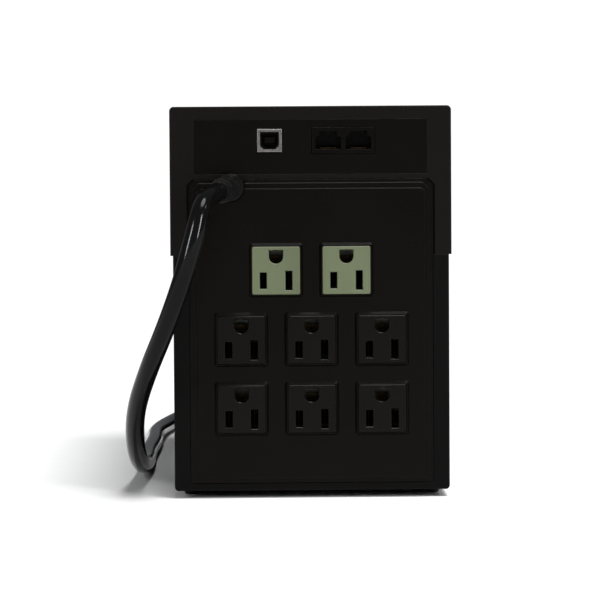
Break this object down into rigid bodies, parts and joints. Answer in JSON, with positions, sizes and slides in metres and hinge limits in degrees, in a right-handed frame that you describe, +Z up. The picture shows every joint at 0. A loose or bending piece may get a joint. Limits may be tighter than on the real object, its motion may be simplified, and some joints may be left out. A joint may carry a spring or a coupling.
{
  "type": "uninterruptible power supply",
  "caption": "Upright black battery backup unit with rear mains outlets, data ports, a fixed mains cord, vented sides and a pull-off battery door.",
  "frame": {"origin": "on the floor under the middle of the case", "axes": "+Z up, +Y out of the rear outlet panel, front bezel faces -Y, +X on the left when seen from behind"},
  "size_m": [0.1645, 0.5976, 0.195],
  "materials": {
    "case_black": "fine spark-eroded satin",
    "bezel_black": "fine spark-eroded satin",
    "panel_black": "smooth satin",
    "outlet_black": "semi-gloss",
    "outlet_white": "semi-gloss",
    "fascia_gloss": "high gloss",
    "lens_clear": "translucent",
    "button_grey": "semi-gloss",
    "foot_rubber": "matt",
    "screw_steel": "zinc plated",
    "contact_brass": "drawn strip",
    "contact_gold": "plated wire",
    "port_shell_metal": "plated",
    "jack_black": "moulded",
    "inner_nylon": "natural nylon",
    "board_green": "solder mask",
    "component_black": "moulded",
    "relay_blue": "moulded",
    "sleeve_vinyl": "shrink sleeve",
    "heat_sink_aluminium": "extruded",
    "core_steel": "varnished laminations",
    "winding_tape": "taped copper",
    "battery_grey": "moulded",
    "wire_red": "insulation",
    "wire_black": "insulation",
    "ribbon_grey": "flat cable",
    "led_milky": "diffused",
    "cord_vinyl": "semi-gloss jacket",
    "tie_vinyl": "coated wire"
  },
  "bodies": {
    "case": {"backup_outlet_1": "outlet_black", "backup_outlet_2": "outlet_black", "backup_outlet_3": "outlet_black", "backup_outlet_4": "outlet_black", "backup_outlet_5": "outlet_black", "backup_outlet_6": "outlet_black", "base_shell": "case_black", "battery_1": "battery_grey", "battery_2": "battery_grey", "battery_link": "contact_brass", "battery_terminals": "contact_brass", "board_tray": "inner_nylon", "capacitors": "sleeve_vinyl", "case_screws": "screw_steel", "comm_board": "board_green", "control_fascia": "fascia_gloss", "cord_tie": "tie_vinyl", "display_board": "board_green", "display_cable": "ribbon_grey", "front_bezel": "bezel_black", "ground_contacts": "contact_brass", "heat_sinks": "heat_sink_aluminium", "indicator_leds": "led_milky", "indicator_lenses": "lens_clear", "inner_screws": "screw_steel", "jack_contacts": "contact_gold", "line_choke": "winding_tape", "line_contacts": "contact_brass", "main_board": "board_green", "network_jack": "jack_black", "neutral_contacts": "contact_brass", "outlet_back_covers": "inner_nylon", "outlet_retainer": "inner_nylon", "outlet_wiring": "wire_black", "plug_body": "cord_vinyl", "plug_pins": "contact_brass", "port_plate": "panel_black", "power_cord": "cord_vinyl", "power_cord_coil": "cord_vinyl", "power_leads": "wire_red", "power_switch": "component_black", "power_transistors": "component_black", "rear_panel": "panel_black", "relays": "relay_blue", "rubber_feet": "foot_rubber", "strain_relief": "cord_vinyl", "surge_outlet_1": "outlet_white", "surge_outlet_2": "outlet_white", "tab_sleeves": "wire_red", "top_cover": "case_black", "transformer_bobbin": "inner_nylon", "transformer_bracket": "screw_steel", "transformer_core": "core_steel", "transformer_screws": "screw_steel", "transformer_winding": "winding_tape", "usb_shell": "port_shell_metal", "usb_tongue": "component_black"},
    "door": {"battery_door": "bezel_black"},
    "button": {"power_button": "button_grey"}
  },
  "joints": [
    {"name": "battery_door_slide", "type": "slide", "parent": "case", "child": "door", "axis": [0, -1, 0], "range_m": [0, 0.03]},
    {"name": "power_button_press", "type": "slide", "parent": "case", "child": "button", "axis": [0, 1, 0], "range_m": [0, 0.0025], "stiffness_N_per_m": 500, "springref_m": -0.0006}
  ]
}
